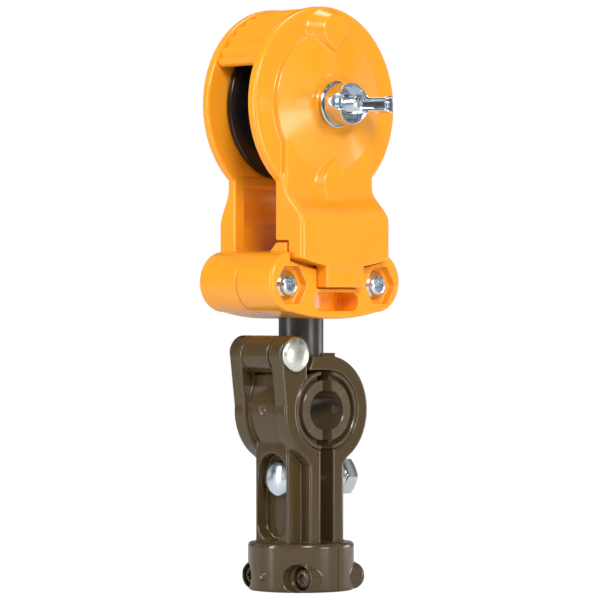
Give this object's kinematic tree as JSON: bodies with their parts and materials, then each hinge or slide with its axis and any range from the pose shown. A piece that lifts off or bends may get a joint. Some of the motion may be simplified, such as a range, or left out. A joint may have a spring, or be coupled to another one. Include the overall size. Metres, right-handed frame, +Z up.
{
  "type": "cable pulley",
  "caption": "Cable pulley: a swivelling orange head with a grooved black wheel and a ribbed bridge, on a stem held by a hinged clamp.",
  "frame": {"origin": "centre of the collar's lower face, on the axis of the stem and of the pole socket", "axes": "+Z up along the stem towards the wheel, -Y out of the front cover, X from the hinge side (-) to the clamp nut side (+)"},
  "size_m": [0.093, 0.0687, 0.2758],
  "materials": {
    "fixed_jaw": "fine moulded satin surface",
    "swing_jaw": "fine moulded satin surface",
    "outer_liner_left": "fine moulded satin surface",
    "inner_liner_left": "fine moulded satin surface",
    "outer_liner_right": "fine moulded satin surface",
    "inner_liner_right": "fine moulded satin surface",
    "hinge_pin": "bright zinc-plated",
    "hinge_clip": "bright zinc-plated",
    "clamp_bolt": "bright zinc-plated",
    "clamp_washer": "bright zinc-plated",
    "clamp_spring_washer": "bright zinc-plated",
    "clamp_nut": "bright zinc-plated",
    "collar_screw_front": "dark brown coated screw",
    "collar_washer_front": "dark brown coated screw",
    "thread_insert_front": "plain turned",
    "collar_screw_back": "dark brown coated screw",
    "collar_washer_back": "dark brown coated screw",
    "thread_insert_back": "plain turned",
    "stem": "satin dark tube",
    "thrust_washer": "natural nylon",
    "rear_body": "smooth moulded plastic, slightly glossy",
    "front_base": "smooth moulded plastic, slightly glossy",
    "base_screw_left": "bright zinc-plated",
    "base_nut_left": "bright zinc-plated",
    "base_screw_right": "bright zinc-plated",
    "base_nut_right": "bright zinc-plated",
    "axle_bolt": "bright zinc-plated",
    "axle_sleeve": "bright zinc-plated",
    "wheel_bush": "sintered bronze",
    "wheel": "glossy turned plastic",
    "front_cover": "smooth moulded plastic, slightly glossy",
    "wing_washer": "bright zinc-plated",
    "wing_nut": "bright zinc-plated casting"
  },
  "bodies": {
    "clamp": {"fixed_jaw": "fixed_jaw", "stem": "stem", "hinge_pin": "hinge_pin", "hinge_clip": "hinge_clip", "outer_liner_right": "outer_liner_right", "inner_liner_right": "inner_liner_right", "clamp_washer": "clamp_washer", "clamp_spring_washer": "clamp_spring_washer", "thread_insert_front": "thread_insert_front", "thread_insert_back": "thread_insert_back", "thrust_washer": "thrust_washer"},
    "swing_jaw": {"swing_jaw": "swing_jaw", "outer_liner_left": "outer_liner_left", "inner_liner_left": "inner_liner_left"},
    "clamp_bolt": {"clamp_bolt": "clamp_bolt"},
    "clamp_nut": {"clamp_nut": "clamp_nut"},
    "collar_washer_front": {"collar_washer_front": "collar_washer_front"},
    "collar_screw_front": {"collar_screw_front": "collar_screw_front"},
    "collar_washer_back": {"collar_washer_back": "collar_washer_back"},
    "collar_screw_back": {"collar_screw_back": "collar_screw_back"},
    "head": {"rear_body": "rear_body", "front_base": "front_base", "base_screw_left": "base_screw_left", "base_screw_right": "base_screw_right", "base_nut_left": "base_nut_left", "base_nut_right": "base_nut_right", "axle_bolt": "axle_bolt", "axle_sleeve": "axle_sleeve"},
    "wheel": {"wheel": "wheel", "wheel_bush": "wheel_bush"},
    "cover": {"front_cover": "front_cover"},
    "wing_washer": {"wing_washer": "wing_washer"},
    "wing_nut": {"wing_nut": "wing_nut"}
  },
  "joints": [
    {"name": "clamp_nut_turn", "type": "hinge", "parent": "clamp", "child": "clamp_nut", "pos_m": [0, 0, 0.0528], "axis": [1, 0, 0], "range_deg": [0, 541]},
    {"name": "clamp_bolt_slide", "type": "slide", "parent": "clamp", "child": "clamp_bolt", "axis": [-1, 0, 0], "range_m": [0, 0.00226]},
    {"name": "jaw_swing", "type": "hinge", "parent": "clamp", "child": "swing_jaw", "pos_m": [-0.0219, 0, 0.1118], "axis": [0, 1, 0], "range_deg": [0, 2]},
    {"name": "collar_front_slide", "type": "slide", "parent": "clamp", "child": "collar_washer_front", "axis": [-1, 0, 0], "range_m": [0, 0.00402]},
    {"name": "collar_front_turn", "type": "hinge", "parent": "collar_washer_front", "child": "collar_screw_front", "pos_m": [0, -0.0171, 0.0066], "axis": [-1, 0, 0], "range_deg": [0, 1801]},
    {"name": "collar_back_slide", "type": "slide", "parent": "clamp", "child": "collar_washer_back", "axis": [-1, 0, 0], "range_m": [0, 0.00402]},
    {"name": "collar_back_turn", "type": "hinge", "parent": "collar_washer_back", "child": "collar_screw_back", "pos_m": [0, 0.0171, 0.0066], "axis": [-1, 0, 0], "range_deg": [0, 1801]},
    {"name": "head_swivel", "type": "hinge", "parent": "clamp", "child": "head", "pos_m": [0, 0, 0.148], "axis": [0, 0, 1], "continuous": true},
    {"name": "wheel_spin", "type": "hinge", "parent": "head", "child": "wheel", "pos_m": [0, 0, 0.2293], "axis": [0, -1, 0], "continuous": true},
    {"name": "cover_tilt", "type": "hinge", "parent": "head", "child": "cover", "pos_m": [0, -0.0255, 0.1432], "axis": [1, 0, 0], "range_deg": [0, 3.61]},
    {"name": "wing_washer_slide", "type": "slide", "parent": "head", "child": "wing_washer", "axis": [0, -1, 0], "range_m": [0, 0.00626]},
    {"name": "wing_nut_turn", "type": "hinge", "parent": "wing_washer", "child": "wing_nut", "pos_m": [0, 0, 0.2293], "axis": [0, -1, 0], "range_deg": [0, 1800]}
  ],
  "couplings": [
    {"joint": "clamp_nut_turn", "follows": "jaw_swing", "ratio": 270},
    {"joint": "clamp_bolt_slide", "follows": "jaw_swing", "m_per_rad": 0.064458},
    {"joint": "collar_front_slide", "follows": "jaw_swing", "m_per_rad": 0.11459},
    {"joint": "collar_back_slide", "follows": "jaw_swing", "m_per_rad": 0.11459},
    {"joint": "collar_front_turn", "follows": "jaw_swing", "ratio": 900},
    {"joint": "collar_back_turn", "follows": "jaw_swing", "ratio": 900},
    {"joint": "wing_washer_slide", "follows": "wing_nut_turn", "m_per_rad": 0.00019894},
    {"joint": "cover_tilt", "follows": "wing_nut_turn", "ratio": 0.002}
  ]
}
